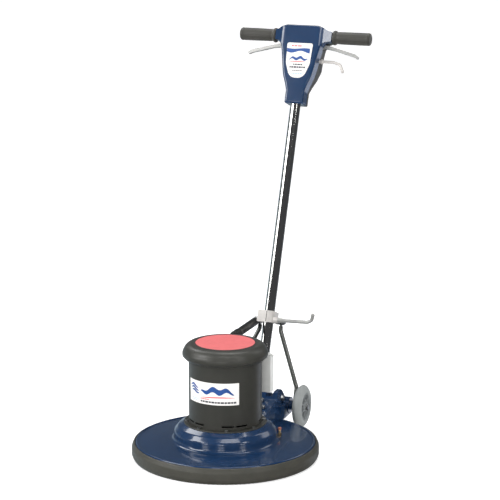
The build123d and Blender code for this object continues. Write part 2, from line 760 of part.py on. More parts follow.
def trigger_profile():
    """Right trigger lever seen square to the head's front."""
    lever = outline(
        [(54, -26), (66, -24.5), (96, -30.5), (168, -49), (179, -57), (176, -64.5), (164, -58),
         (96, -40), (66, -36), (54, -36)],
        {2: 20, 3: 6, 4: 4, 5: 4, 6: 6, 7: 16},
    )
    inner_arm = outline([(62, -26), (30, -45), (30, -52), (60, -38)], {1: 2, 2: 2})
    return lever + inner_arm + Pos(TRIGGER_PIVOT_X, TRIGGER_PIVOT_W) * Circle(8)


def make_trigger(side):
    lever = extrude(head_plane(GRIP_Q + 5) * trigger_profile(), 10)
    pivot = Pos(TRIGGER_PIVOT_X, GRIP_Q, GRIP_S + TRIGGER_PIVOT_W) * Rot(90, 0, 0)
    lever = lever - pivot * Cylinder(3 + RUNNING_FIT, 40)
    if side < 0:
        lever = mirror(lever, Plane.YZ)
    return handle_frame * lever


def make_trigger_pins():
    pins = []
    for side in (-1, 1):
        place = Pos(side * TRIGGER_PIVOT_X, GRIP_Q, GRIP_S + TRIGGER_PIVOT_W) * Rot(90, 0, 0)
        pins.append(handle_frame * place * Cylinder(3, 32))
    return pins


def make_trigger_switch():
    """Double-pole switch between the triggers, with one plunger over each inner arm."""
    case = block((-28, 28), (HEAD_FRONT_Q + HEAD_WALL, GRIP_Q + 12), (GRIP_S - 88, GRIP_S - 64))
    case = fillet(case.edges().filter_by(Axis.Y), 3)
    for x in (-22, 22):
        case = case + block((x - 4, x + 4), (GRIP_Q - 4, GRIP_Q + 4), (GRIP_S - 65, GRIP_S - 61))
    return handle_frame * case


def make_cord_gland():
    """Threaded gland nut where the supply cord would leave the head."""
    gland_y, gland_s = GLAND_PLACE
    body = turned([(5, -9), (8, -9), (8, 3), (11, 3), (11, 12), (8.5, 20), (5, 20)], {3: 1, 4: 2})
    flats = extrude(RegularPolygon(12.2, 6), 7)
    body = body + (Pos(0, 0, 3.5) * flats - column(8, 0, 30))
    return handle_frame * Pos(0, gland_y, gland_s) * Rot(GLAND_TILT, 0, 0) * body


def make_upper_hook():
    """Cord hook on the head's right side: a tapered arm that turns down at its tip."""
    shank = rod_x(5, 52, 66) + rod_x(7.5, 61, 66)
    arm = swept_arm([(60, 0), (100, 0), (122, -7), (132, -27)], (13, 12), 4.6)
    return handle_frame * Pos(0, GRIP_Q, GRIP_S + HOOK_W) * (shank + arm)


def swept_arm(points, radii, radius):
    """A round arm along a path in XZ, with a ball at its tip."""
    path = FilletPolyline(*[(x, 0, z) for x, z in points], radius=list(radii))
    arm = sweep(Plane(origin=path @ 0, z_dir=path % 0) * Circle(radius), path=path)
    tip_x, tip_z = points[-1]
    return arm + Pos(tip_x, 0, tip_z) * Sphere(radius + 0.8)


# ---- clamp, struts and lever ---------------------------------------------------------------------------


def make_tube_clamp():
    """Strap round the tube, with ears behind it for the cross bolt and a boss for the cord hook."""
    inner = TUBE_R + CLAMP_GAP
    strap = Circle(19.5) + outline([(-30.5, -19.5), (0, -19.5), (0, -16), (-30.5, -16)])
    strap = strap + outline([(-30.5, -19.5), (-26.8, -19.5), (-26.8, 31), (-30.5, 31)])
    strap = strap + outline([(-19.5, 0), (-15.5, 0), (-15.5, 31), (-19.5, 31)])
    strap = strap + outline([(15.5, 0), (19.5, 0), (19.5, 31), (15.5, 31)])
    strap = strap - Circle(inner) - Pos(0, 20) * Rectangle(5, 20)
    low = CLAMP_S - CLAMP_HEIGHT / 2
    clamp = Pos(0, 0, low) * extrude(strap, CLAMP_HEIGHT)
    clamp = clamp + rod_x(9, 17, 31, LOWER_HOOK_Q, LOWER_HOOK_S)
    clamp = clamp - rod_x(5.05, 15, 40, LOWER_HOOK_Q, LOWER_HOOK_S) - column(inner, 200, 280)
    clamp = clamp - rod_x(CROSS_BOLT_R, -60, 60, CROSS_BOLT_Q, CROSS_BOLT_S)
    return handle_frame * clamp


def make_cross_bolt():
    """Cross bolt with its hexagon head outside the lever, and a spacer, washer and nut on the right."""
    bolt = rod_x(CROSS_BOLT_R, -54, 47)
    head = Pos(-53.6, 0, 0) * Rot(0, -90, 0) * hex_bolt(CROSS_BOLT_R, 13, 5.5, 4)
    spacer = rod_x(8, 19.6, 31.2) - rod_x(CROSS_BOLT_R, 0, 60)
    washer = rod_x(9, 35.9, 37.5) - rod_x(CROSS_BOLT_R, 0, 60)
    nut = Pos(37.5, 0, 0) * Rot(0, 90, 0) * extrude(RegularPolygon(7.8, 6), 6.5)
    nut = nut - rod_x(CROSS_BOLT_R, 0, 60)
    place = handle_frame * Pos(0, CROSS_BOLT_Q, CROSS_BOLT_S)
    return [place * piece for piece in (bolt + head, spacer, washer, nut)]


STRUT_LENGTH = hypot(bolt_y - AXLE_Y, bolt_z - AXLE_Z)
STRUT_LEAN = degrees(atan2(bolt_y - AXLE_Y, bolt_z - AXLE_Z))


def make_strut(side):
    """One strut, drawn hanging from the cross bolt at the origin down to the axle."""
    path = FilletPolyline(
        (STRUT_TOP_X, 0, -12),
        (STRUT_TOP_X, 0, -24),
        (STRUT_LOW_X, 0, -STRUT_LENGTH + 54),
        (STRUT_LOW_X, 0, -STRUT_LENGTH + 20),
        radius=[24, 24],
    )
    tube = sweep(Plane(origin=path @ 0, z_dir=path % 0) * Circle(STRUT_TUBE_R), path=path)
    top_span = (STRUT_TOP_X - STRUT_PLATE / 2, STRUT_TOP_X + STRUT_PLATE / 2)
    low_span = (STRUT_LOW_X - STRUT_PLATE / 2, STRUT_LOW_X + STRUT_PLATE / 2)
    eye = rod_x(10, *top_span) + block(top_span, (-7, 7), (-20, 0))
    foot = rod_x(15.5, *low_span, 0, -STRUT_LENGTH)
    foot = foot + block(low_span, (-7, 7), (-STRUT_LENGTH, -STRUT_LENGTH + 28))
    strut = tube + eye + foot
    strut = strut - rod_x(CROSS_BOLT_R + RUNNING_FIT, 0, 60)
    strut = strut - rod_x(STRUT_LOW_HOLE_R, 60, 150, 0, -STRUT_LENGTH)
    if side < 0:
        strut = mirror(strut, Plane.YZ)
    return Location((0, bolt_y, bolt_z), (-STRUT_LEAN, 0, 0)) * strut


def make_clamp_lever():
    """Steel lever on the left end of the cross bolt, pointing straight forward."""
    hub = rod_x(11, -53, -37)
    rod = Pos(LEVER_X, -LEVER_LENGTH / 2, 0) * Rot(90, 0, 0) * Cylinder(6, LEVER_LENGTH - 12)
    lever = hub + rod - rod_x(CROSS_BOLT_R + RUNNING_FIT, -60, -30)
    return Pos(0, bolt_y, bolt_z) * lever


def make_lever_grip():
    """Rubber sleeve over the lever, flared at its front end."""
    sleeve = turned(
        [(6, 14), (11.6, 14), (12.2, 20), (12.2, 150), (13.6, 165), (13.6, 196), (11, LEVER_LENGTH),
         (0, LEVER_LENGTH), (0, LEVER_LENGTH - 6), (6, LEVER_LENGTH - 6)],
        {1: 2, 4: 8, 5: 3, 6: 3},
    )
    return Pos(LEVER_X, bolt_y, bolt_z) * Rot(90, 0, 0) * sleeve


def make_lower_hook():
    """Cord hook on the clamp's right side, curled up at its tip."""
    hook_y, hook_z = to_machine(LOWER_HOOK_Q, LOWER_HOOK_S)
    shank = rod_x(5, 20, 40) + rod_x(8, 31.4, 37)
    root = Pos(45, 0, 0.3) * Rot(0, 90, 0) * Cone(8, 5.5, 22)
    arm = swept_arm([(34, 0), (124, 2), (138, 9), (141, 25)], (14, 10), 5.4)
    return Pos(0, hook_y, hook_z) * (shank + root + arm)


# ---- write every piece ---------------------------------------------------------------------------------
def main():
    save("deck_apron", make_deck())
    save("bumper_ring", make_bumper())
    save("rear_yoke", make_rear_yoke())
    save("yoke_bolts", group(make_yoke_bolts()))
    save("motor_flange", make_motor_flange())
    save("flange_screws", group(make_flange_screws()))
    save("motor_shell", make_motor_shell())
    save("stator_core", make_stator_core())
    save("stator_windings", make_stator_windings())
    save("motor_bearings", group(make_motor_bearings()))
    save("upper_end_bell", make_upper_end_bell())
    save("motor_cap", make_motor_cap())
    save("cap_disc", make_cap_disc())
    save("drum_label", make_drum_label())
    save("motor_shaft", make_motor_shaft())
    save("rotor_core", make_rotor_core())
    save("cooling_fan", make_cooling_fan())
    save("sun_pinion", make_sun_pinion())
    for number, angle in enumerate(PLANET_ANGLES, start=1):
        save("planet_gear_" + str(number), make_planet_gear(angle))
    save("ring_gear", make_ring_gear())
    save("gear_case", make_gear_case())
    save("gear_case_cover", make_gear_case_cover())
    save("spindle_bearing", make_ball_bearing(SPINDLE_R + RUNNING_FIT, SPINDLE_BEARING_R, 40, 56))
    save("spindle_seal", make_spindle_seal())
    save("spindle", make_spindle())
    save("planet_carrier", make_planet_carrier())
    save("planet_pins", group(make_planet_pins()))
    save("drive_hub", make_drive_hub())
    save("hub_bolt", group(make_hub_bolt()))
    save("capacitor_box", make_capacitor_box())
    save("capacitor_lid", make_capacitor_lid())
    save("start_capacitor", make_capacitor())
    save("solution_inlet", make_solution_inlet())
    save("inlet_plug", make_inlet_plug())
    save("left_wheel", make_wheel(-1))
    save("right_wheel", make_wheel(1))
    save("wheel_axle", make_axle())
    save("axle_caps", group(make_axle_caps()))
    save("pivot_bolt", group(make_pivot_bolt()))
    save("handle_tube", make_handle_tube())
    save("head_front_cover", make_head_front())
    save("head_rear_cover", make_head_rear())
    save("head_screws", group(make_head_screws()))
    save("handlebar", make_handlebar())
    save("hand_grips", group(make_hand_grips()))
    save("head_label", make_head_label())
    save("left_trigger", make_trigger(-1))
    save("right_trigger", make_trigger(1))
    save("trigger_pins", group(make_trigger_pins()))
    save("trigger_switch", make_trigger_switch())
    save("cord_gland", make_cord_gland())
    save("upper_cord_hook", make_upper_hook())
    save("tube_clamp", make_tube_clamp())
    save("cross_bolt", group(make_cross_bolt()))
    save("tilt_struts", group([make_strut(-1), make_strut(1)]))
    save("clamp_lever", make_clamp_lever())
    save("lever_grip", make_lever_grip())
    save("lower_cord_hook", make_lower_hook())


main()
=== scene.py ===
import bpy
import json
from math import cos, pi, radians, sin
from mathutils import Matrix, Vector

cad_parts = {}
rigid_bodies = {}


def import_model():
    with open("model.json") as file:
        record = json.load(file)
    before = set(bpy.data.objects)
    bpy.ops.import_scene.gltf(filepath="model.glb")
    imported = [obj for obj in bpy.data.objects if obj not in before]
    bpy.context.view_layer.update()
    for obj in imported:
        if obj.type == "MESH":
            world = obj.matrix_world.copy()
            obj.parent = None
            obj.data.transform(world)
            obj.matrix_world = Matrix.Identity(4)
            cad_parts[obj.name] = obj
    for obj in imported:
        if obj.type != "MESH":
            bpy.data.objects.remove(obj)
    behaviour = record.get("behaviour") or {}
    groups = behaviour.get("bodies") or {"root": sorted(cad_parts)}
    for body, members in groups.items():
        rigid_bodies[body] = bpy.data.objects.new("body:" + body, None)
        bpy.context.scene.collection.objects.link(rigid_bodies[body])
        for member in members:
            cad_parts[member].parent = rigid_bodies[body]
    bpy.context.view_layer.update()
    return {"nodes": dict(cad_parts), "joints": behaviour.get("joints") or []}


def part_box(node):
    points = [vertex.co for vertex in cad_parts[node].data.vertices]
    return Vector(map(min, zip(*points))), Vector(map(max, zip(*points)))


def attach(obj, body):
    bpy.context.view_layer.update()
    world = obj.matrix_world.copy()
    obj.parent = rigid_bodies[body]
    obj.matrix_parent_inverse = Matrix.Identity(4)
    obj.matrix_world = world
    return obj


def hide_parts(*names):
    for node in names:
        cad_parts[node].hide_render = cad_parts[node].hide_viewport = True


for leftover in list(bpy.data.objects):
    bpy.data.objects.remove(leftover)
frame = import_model()
nodes = frame["nodes"]
joints = {joint["name"]: joint for joint in frame["joints"]}

# Metres, in the frame of the model: the floor is z = 0 and the front of the machine is -Y.

# ---- driving values --------------------------------------------------------------------------------
CAMERA_AZIMUTH = 21.0
CAMERA_DISTANCE = 6.1477
CAMERA_HEIGHT = 2.0126
CAMERA_PITCH = 12.86
CAMERA_YAW = 0.66
CAMERA_LENS = 160.5
STAGE_GLOW = 0.42
MM = 0.001


# ---- node helpers ----------------------------------------------------------------------------------
def add_node(tree, kind, settings=None, inputs=None):
    """A shader node with its settings, and its inputs given as values or as other nodes' outputs."""
    made = tree.nodes.new(kind)
    for name, value in (settings or {}).items():
        setattr(made, name, value)
    for name, value in (inputs or {}).items():
        if isinstance(value, bpy.types.NodeSocket):
            tree.links.new(value, made.inputs[name])
        else:
            made.inputs[name].default_value = value
    return made


def noise(tree, place, scale, detail=4.0, roughness=0.55):
    """Noise over the piece, with its scale in cycles per metre."""
    inputs = {"Vector": place, "Scale": scale, "Detail": detail, "Roughness": roughness}
    return add_node(tree, "ShaderNodeTexNoise", None, inputs).outputs["Fac"]


def spread(tree, value, low, high, from_low=0.3, from_high=0.7):
    """A value moved from one range to another and held within it."""
    inputs = {"Value": value, "From Min": from_low, "From Max": from_high, "To Min": low, "To Max": high}
    return add_node(tree, "ShaderNodeMapRange", None, inputs).outputs["Result"]


def blend_colour(tree, amount, first, second):
    """Two colours mixed by an amount."""
    made = add_node(tree, "ShaderNodeMix", {"data_type": "RGBA"})
    for socket, value in ((made.inputs[0], amount), (made.inputs[6], first), (made.inputs[7], second)):
        if isinstance(value, bpy.types.NodeSocket):
            tree.links.new(value, socket)
        else:
            socket.default_value = value
    return made.outputs[2]


def multiply(tree, first, second):
    """The product of two values."""
    made = add_node(tree, "ShaderNodeMath", {"operation": "MULTIPLY"}, {0: first, 1: second})
    return made.outputs[0]


def dot_product(tree, first, second):
    """The dot product of two directions."""
    made = add_node(tree, "ShaderNodeVectorMath", {"operation": "DOT_PRODUCT"}, {0: first, 1: second})
    return made.outputs["Value"]


def shade(colour, factor):
    """A colour made lighter or darker, with its alpha."""
    return tuple(min(1.0, channel * factor) for channel in colour) + (1.0,)


def srgb(code):
    """A linear colour from a six-digit code."""
    channels = [int(code[start:start + 2], 16) / 255 for start in (0, 2, 4)]
    return tuple(c / 12.92 if c <= 0.04045 else ((c + 0.055) / 1.055) ** 2.4 for c in channels)


def edge_mask(tree, rounded, threshold=0.05):
    """1 along the piece's sharp edges and 0 elsewhere, from the rounded and the true normal."""
    true = add_node(tree, "ShaderNodeNewGeometry")
    agreement = dot_product(tree, rounded, true.outputs["Normal"])
    return spread(tree, agreement, 1.0, 0.0, 1.0 - threshold * 4, 1.0 - threshold)


def material(name, colour, metallic=0.0, roughness=0.4, swing=0.08, mottle=(18.0, 0.10), grain=(600.0, 0.02),
             stretch=(1, 1, 1), wear=None, coat=0.0, coat_roughness=0.08, sheen=0.0, specular=0.5):
    """A surface with colour variation, uneven gloss, fine relief and, where asked, worn edges.

    mottle is (cycles per metre, amount); grain is (cycles per metre, depth in mm);
    wear is (colour, edge radius in mm, amount)."""
    made = bpy.data.materials.new(name)
    made.use_nodes = True
    tree = made.node_tree
    shader = tree.nodes["Principled BSDF"]
    place = add_node(tree, "ShaderNodeTexCoord").outputs["Object"]
    mapping = add_node(tree, "ShaderNodeMapping", None, {"Vector": place, "Scale": stretch})
    stretched = mapping.outputs["Vector"]
    cloudy = noise(tree, stretched, mottle[0])
    darker, lighter = shade(colour, 1 - mottle[1]), shade(colour, 1 + mottle[1])
    base = blend_colour(tree, spread(tree, cloudy, 0.0, 1.0), darker, lighter)
    uneven = noise(tree, stretched, mottle[0] * 4.3, 6.0, 0.6)
    gloss = spread(tree, uneven, max(0.02, roughness - swing), min(1.0, roughness + swing))
    rounded = None
    if wear:
        worn, radius, amount = wear
        rounded = add_node(tree, "ShaderNodeBevel", {"samples": 6}, {"Radius": radius * MM}).outputs["Normal"]
        broken = spread(tree, noise(tree, place, 160.0, 5.0, 0.7), 0.0, amount, 0.42, 0.62)
        mask = multiply(tree, edge_mask(tree, rounded), broken)
        base = blend_colour(tree, mask, base, worn + (1.0,))
        added_roughness = 0.18
        rougher = add_node(tree, "ShaderNodeMath", {"operation": "MULTIPLY_ADD"},
                           {0: mask, 1: added_roughness, 2: gloss})
        gloss = rougher.outputs[0]
    tree.links.new(base, shader.inputs["Base Color"])
    tree.links.new(gloss, shader.inputs["Roughness"])
    relief = noise(tree, stretched, grain[0], 3.0, 0.5)
    heights = {"Height": relief, "Distance": grain[1] * MM, "Strength": 1.0}
    bump = add_node(tree, "ShaderNodeBump", None, heights)
    if rounded:
        tree.links.new(rounded, bump.inputs["Normal"])
    tree.links.new(bump.outputs["Normal"], shader.inputs["Normal"])
    shader.inputs["Metallic"].default_value = metallic
    shader.inputs["Specular IOR Level"].default_value = specular
    if coat:
        shader.inputs["Coat Weight"].default_value = coat
        shader.inputs["Coat Roughness"].default_value = coat_roughness
    if sheen:
        shader.inputs["Sheen Weight"].default_value = sheen
    return made


# ---- materials -------------------------------------------------------------------------------------
def make_materials():
    """One material for each of the record's slots, and the label inks."""
    made = {
        "blue_paint": material("blue_paint", srgb("172f4e"), roughness=0.2, swing=0.04, mottle=(9.0, 0.07),
                               grain=(25.0, 0.004), coat=0.5, coat_roughness=0.03, specular=0.4),
        "black_enamel": material("black_enamel", srgb("31312c"), roughness=0.42, swing=0.06,
                                 mottle=(14.0, 0.08), grain=(700.0, 0.012),
                                 wear=(srgb("6c6c66"), 0.6, 0.3), coat=0.12, coat_roughness=0.3),
        "black_moulding": material("black_moulding", srgb("32322d"), roughness=0.4, swing=0.07,
                                   mottle=(20.0, 0.08), grain=(1500.0, 0.02)),
        "bumper_rubber": material("bumper_rubber", srgb("3b3a33"), roughness=0.46, swing=0.08,
                                  mottle=(24.0, 0.12), grain=(900.0, 0.02)),
        "red_disc": material("red_disc", srgb("d66869"), roughness=0.55, swing=0.05, mottle=(30.0, 0.04),
                             grain=(1200.0, 0.006)),
        "label_white": material("label_white", srgb("e2e0dc"), roughness=0.3, swing=0.05, mottle=(40.0, 0.02),
                                grain=(900.0, 0.003), coat=0.4, coat_roughness=0.12),
        "chrome": material("chrome", srgb("cfcfcc"), metallic=1.0, roughness=0.08, swing=0.01,
                           mottle=(7.0, 0.03), grain=(12.0, 0.002)),
        "cast_silver": material("cast_silver", srgb("aeaeab"), metallic=0.6, roughness=0.33, swing=0.08,
                                mottle=(60.0, 0.07), grain=(900.0, 0.02), wear=(srgb("dededa"), 0.5, 0.5)),
        "box_silver": material("box_silver", srgb("c6c7c4"), metallic=0.0, roughness=0.4, swing=0.08,
                               mottle=(36.0, 0.05), grain=(700.0, 0.008), wear=(srgb("e4e4e2"), 0.5, 0.6)),
        "zinc": material("zinc", srgb("b4b6b6"), metallic=1.0, roughness=0.3, swing=0.1, mottle=(90.0, 0.10),
                         grain=(1100.0, 0.006)),
        "strut_steel": material("strut_steel", srgb("747572"), metallic=1.0, roughness=0.3, swing=0.08,
                                mottle=(50.0, 0.08), grain=(600.0, 0.006), stretch=(1, 1, 0.2)),
        "bare_iron": material("bare_iron", srgb("7b7a78"), metallic=1.0, roughness=0.45, swing=0.1,
                              mottle=(70.0, 0.12), grain=(800.0, 0.02)),
        "bare_aluminium": material("bare_aluminium", srgb("b9babb"), metallic=1.0, roughness=0.42, swing=0.1,
                                   mottle=(60.0, 0.07), grain=(800.0, 0.03)),
        "copper": material("copper", srgb("b86b3a"), metallic=1.0, roughness=0.3, swing=0.08,
                           mottle=(120.0, 0.12), grain=(900.0, 0.2), stretch=(1, 1, 0.15)),
        "brass": material("brass", srgb("d3b88c"), metallic=1.0, roughness=0.28, swing=0.08,
                          mottle=(120.0, 0.10), grain=(900.0, 0.008)),
        "wheel_grey": material("wheel_grey", srgb("7c8081"), roughness=0.48, swing=0.08, mottle=(26.0, 0.07),
                               grain=(1100.0, 0.02), wear=(srgb("6d716f"), 0.8, 0.3)),
        "grip_vinyl": material("grip_vinyl", srgb("35342f"), roughness=0.44, swing=0.07, mottle=(30.0, 0.10),
                               grain=(1600.0, 0.03), sheen=0.15),
        # lit_tread_grey is the wheel's own grey made lighter: a painted highlight for the light that falls on
        # the tread
        "lit_tread_grey": material("lit_tread_grey", srgb("8a8e8d"), roughness=0.5, swing=0.08, mottle=(26.0, 0.06),
                              grain=(1100.0, 0.02), wear=(srgb("84868a"), 0.8, 0.3)),
        "seal_rubber": material("seal_rubber", srgb("2a2a28"), roughness=0.6, swing=0.06, mottle=(60.0, 0.1),
                                grain=(1200.0, 0.02)),
        "red_plug": material("red_plug", srgb("a8674f"), roughness=0.45, swing=0.06, mottle=(120.0, 0.1),
                             grain=(900.0, 0.02)),
    }
    made["pale_silver"] = material("pale_silver", srgb("c9c5c1"), metallic=0.35, roughness=0.35, swing=0.08,
                                   mottle=(60.0, 0.07), grain=(900.0, 0.02), wear=(srgb("e9e7e4"), 0.5, 0.5))
    made["sleeve_vinyl"] = material("sleeve_vinyl", srgb("1f1e1c"), roughness=0.5, swing=0.04,
                                    mottle=(30.0, 0.10), grain=(60.0, 0.003), coat=0.35, coat_roughness=0.04,
                                    specular=0.2)
    inks = {
        "ink_blue": srgb("1d4687"),
        "ink_red": srgb("d8434c"),
        "ink_dark": srgb("3c3c44"),
        "ink_sky": srgb("7aa3d8"),
    }
    for name, colour in inks.items():
        made[name] = material(name, colour, roughness=0.32, swing=0.04, mottle=(60.0, 0.04),
                              grain=(900.0, 0.002), coat=0.3, coat_roughness=0.15)
    return made


materials = make_materials()


# The record's slot for each finish that is not a slot itself.
SLOT_OF = {
    "ink_blue": "label_white",
    "ink_red": "label_white",
    "ink_dark": "label_white",
    "ink_sky": "label_white",
    "lit_tread_grey": "wheel_grey",
}

# CAD nodes whose finish differs a little from the rest of their slot.
OWN_FINISH = {
    "tube_clamp": "pale_silver",
    "upper_cord_hook": "pale_silver",
    "lever_grip": "sleeve_vinyl",
}


def dress_cad_nodes():
    """Every CAD node gets the finish of its own slot, or its own."""
    for name, node in nodes.items():
        for index, old in enumerate(list(node.data.materials)):
            finish = OWN_FINISH.get(name, old.name.split(".")[0])
            node.data.materials[index] = materials[finish]


dress_cad_nodes()


# ---- mesh helpers ----------------------------------------------------------------------------------
def piece_from(name, verts, faces, finish, body, smooth_angle=35.0):
    """A new piece from points and faces, dressed and riding on a body."""
    mesh = bpy.data.meshes.new(name)
    mesh.from_pydata([tuple(v) for v in verts], [], faces)
    mesh.validate()
    mesh.update()
    made = bpy.data.objects.new(name, mesh)
    bpy.context.scene.collection.objects.link(made)
    mesh.materials.append(materials[finish])
    mesh.shade_smooth()
    mesh.set_sharp_from_angle(angle=radians(smooth_angle))
    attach(made, body)
    SLOT_OF.get(finish, finish)
    return made


def lathe(rows, place, count, ripple=None):
    """Points and faces of a turned form.

    rows are (radius, distance along the axis), place turns (x, y, along) into a point of the machine,
    and ripple changes the radius by row and angle."""
    verts = []
    for row, (radius, along) in enumerate(rows):
        for step in range(count):
            angle = 2 * pi * step / count
            r = radius + (ripple(row, angle) if ripple else 0.0)
            verts.append(place(r * cos(angle), r * sin(angle), along))
    faces = []
    for row in range(len(rows) - 1):
        for step in range(count):
            after = (step + 1) % count
            faces.append((row * count + step, row * count + after, (row + 1) * count + after,
                          (row + 1) * count + step))
    return verts, faces


def closed_lathe(rows, place, count):
    """A turned ring, whose last row is joined to its first."""
    verts, faces = lathe(rows, place, count)
    last = (len(rows) - 1) * count
    for step in range(count):
        after = (step + 1) % count
        faces.append((last + step, last + after, after, step))
    return verts, faces


# ---- hand grips ------------------------------------------------------------------------------------
bar_low, bar_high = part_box("handlebar")
bar_centre = (Vector(bar_low) + Vector(bar_high)) / 2
grip_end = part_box("hand_grips")[1][0]
grip_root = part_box("head_front_cover")[1][0] + 1.5 * MM
PROFILE_LENGTH = 118.0
FLUTES = 20
FLUTE_DEPTH = 0.45 * MM


def make_grip(side, name):
    """Vinyl grip: a rolled guard at its root, shallow flutes along its length and a closed, dimpled end."""
    length = grip_end - grip_root
    profile = [
        (11.0, 0.0), (20.0, 0.0), (21.6, 0.8), (22.4, 2.4), (22.5, 5.0), (21.9, 7.6), (20.2, 9.6),
        (18.7, 11.4), (18.3, 14.0), (18.4, 16.0), (18.8, 17.0), (18.9, 22.0), (19.1, 40.0),
        (19.3, 60.0), (19.5, 80.0), (19.4, 100.0), (19.3, 108.0), (19.6, 109.0), (19.6, 111.5),
        (19.2, 113.6), (18.2, 115.6), (16.4, 117.2), (13.6, 118.0), (9.0, 118.0), (8.2, 117.6),
        (7.6, 116.6), (3.0, 116.4), (0.01, 116.4),
    ]
    stretch = length / (PROFILE_LENGTH * MM)
    rows = [(radius * MM, along * MM * stretch) for radius, along in profile]
    fluted = range(11, 17)

    def flute(row, angle):
        return -FLUTE_DEPTH * (0.5 + 0.5 * cos(FLUTES * angle)) ** 3 if row in fluted else 0.0

    def place(a, b, along):
        return (side * (grip_root + along), bar_centre.y + a, bar_centre.z + side * b)

    verts, faces = lathe(rows, place, 160, flute)
    return piece_from(name, verts, faces, "grip_vinyl", "handle")


left_grip = make_grip(-1, "left_grip")
right_grip = make_grip(1, "right_grip")
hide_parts("hand_grips")


# ---- wheels ----------------------------------------------------------------------------------------
WHEEL_RIBS = 6
WHEEL_STEPS = 112
WHEEL_RADIUS = 64.5
WHEEL_HALF_WIDTH = 15.0


def make_wheel(side, name, tyre_name, node):
    """Moulded wheel: a rounded tyre, a groove where it meets the rim, a dished face with ribs, and a hub."""
    low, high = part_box(node)
    centre = (Vector(low) + Vector(high)) / 2
    scale = (high[2] - low[2]) / 2 / (WHEEL_RADIUS * MM)
    width = (high[0] - low[0]) / 2 / (WHEEL_HALF_WIDTH * MM)
    outer_face = [
        (6.6, WHEEL_HALF_WIDTH), (12.6, WHEEL_HALF_WIDTH), (14.4, 14.4), (15.2, 12.8), (16.0, 3.4),
        (17.4, 1.8), (32.2, 1.8), (34.0, 2.8), (35.4, 9.4), (36.6, 12.4), (38.2, 13.5), (40.6, 13.7),
        (41.3, 12.9), (42.0, 12.9),
    ]
    # Each rib station is (radius, height, half its thickness).
    rib_stations = ((15.4, 12.6, 2.0), (20.0, 10.6, 1.7), (28.0, 9.6, 1.7), (35.4, 11.2, 2.2))
    tread = [(42.0, 12.6), (42.6, 13.8), (47.0, 14.0), (51.5, 13.2), (56.0, 11.2), (59.8, 8.2), (62.6, 4.8),
             (64.1, 1.6), (WHEEL_RADIUS, 0.4)]

    def both_faces(profile):
        far = [(radius, -along) for radius, along in reversed(profile)]
        return [(r * MM * scale, along * MM * width) for r, along in profile + far]

    def place(a, b, along):
        return (centre.x + side * along, centre.y + a, centre.z + side * b)

    verts, faces = closed_lathe(both_faces(outer_face), place, WHEEL_STEPS)
    for number in range(WHEEL_RIBS):
        turn = 2 * pi * (number + 0.5) / WHEEL_RIBS
        first = len(verts)
        for radius, height, half in rib_stations:
            for across, along in ((-half - 0.8, 0.6), (-half, height), (half, height), (half + 0.8, 0.6)):
                a = (radius * cos(turn) - across * sin(turn)) * MM * scale
                b = (radius * sin(turn) + across * cos(turn)) * MM * scale
                verts.append(place(a, b, along * MM * width))
        for station in range(3):
            for edge in range(4):
                p, q = first + station * 4 + edge, first + station * 4 + (edge + 1) % 4
                faces.append((p, q, q + 4, p + 4))
        faces.append((first, first + 1, first + 2, first + 3))
        faces.append((first + 15, first + 14, first + 13, first + 12))
    made = piece_from(name, verts, faces, "wheel_grey", node, 30.0)
    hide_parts(node)
    # The tread gets the lighter grey as a painted highlight for the light on it; the face keeps the wheel's
    # own grey.
    verts, faces = closed_lathe(both_faces(tread), place, WHEEL_STEPS)
    piece_from(tyre_name, verts, faces, "lit_tread_grey", node, 30.0)


make_wheel(-1, "left_wheel_moulding", "left_wheel_tyre", "left_wheel")
make_wheel(1, "right_wheel_moulding", "right_wheel_tyre", "right_wheel")


# ---- trim on the deck, cap and capacitor box -------------------------------------------------------
def make_ring_piece(name, section, finish):
    """A closed ring about the motor's axis from (radius, height) points."""
    def place(a, b, along):
        return (a, b, along)

    verts, faces = closed_lathe(section, place, 192)
    return piece_from(name, verts, faces, finish, "base", 50.0)


def half_round(radius, height, width, rise, steps=10):
    """Section of a half-round bead, closed along its foot."""
    return [(radius + width / 2 * cos(pi * step / steps), height + rise * sin(pi * step / steps))
            for step in range(steps + 1)]


bumper_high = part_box("bumper_ring")[1]
disc_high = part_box("cap_disc")[1]
# The rolled edge in mm, as radius and height above the bumper.
rim = [(258.9, -1.2), (258.7, 0.4), (258.3, 1.0), (257.1, 2.8), (256.3, 3.1), (254.6, 2.7), (252.6, 1.2),
       (252.0, -1.2)]
make_ring_piece("deck_rolled_edge", [(r * MM, bumper_high[2] + z * MM) for r, z in rim], "blue_paint")
seal_bead = half_round(disc_high[0] + 0.5 * MM, disc_high[2] - 0.3 * MM, 1.6 * MM, 0.8 * MM)
make_ring_piece("disc_seal", seal_bead, "seal_rubber")


def make_dome_screw(name, centre, normal, radius, body):
    """A low domed zinc screw head with a cross recess, seated on a surface."""
    axis = Vector(normal).normalized()
    across = axis.orthogonal().normalized()
    other = axis.cross(across)
    profile = [(1.0, 0.0), (0.99, 0.12), (0.9, 0.34), (0.7, 0.5), (0.45, 0.57), (0.3, 0.58), (0.16, 0.3),
               (0.01, 0.3)]

    def place(a, b, along):
        return Vector(centre) + across * a + other * b + axis * along

    def recess(row, angle):
        return -0.14 * radius * (0.5 + 0.5 * cos(4 * angle)) if row == 5 else 0.0

    rows = [(r * radius, along * radius) for r, along in profile]
    verts, faces = lathe(rows, place, 32, recess)
    return piece_from(name, verts, faces, "zinc", body, 40.0)


def handle_frame():
    """The handle's pivot, and the directions up along its tube and square to it towards the back."""
    up = Vector(joints["clamp_slide"]["axis"]).normalized()
    return Vector(joints["handle_tilt"]["pos_m"]), up, Vector((0.0, up.z, -up.y))


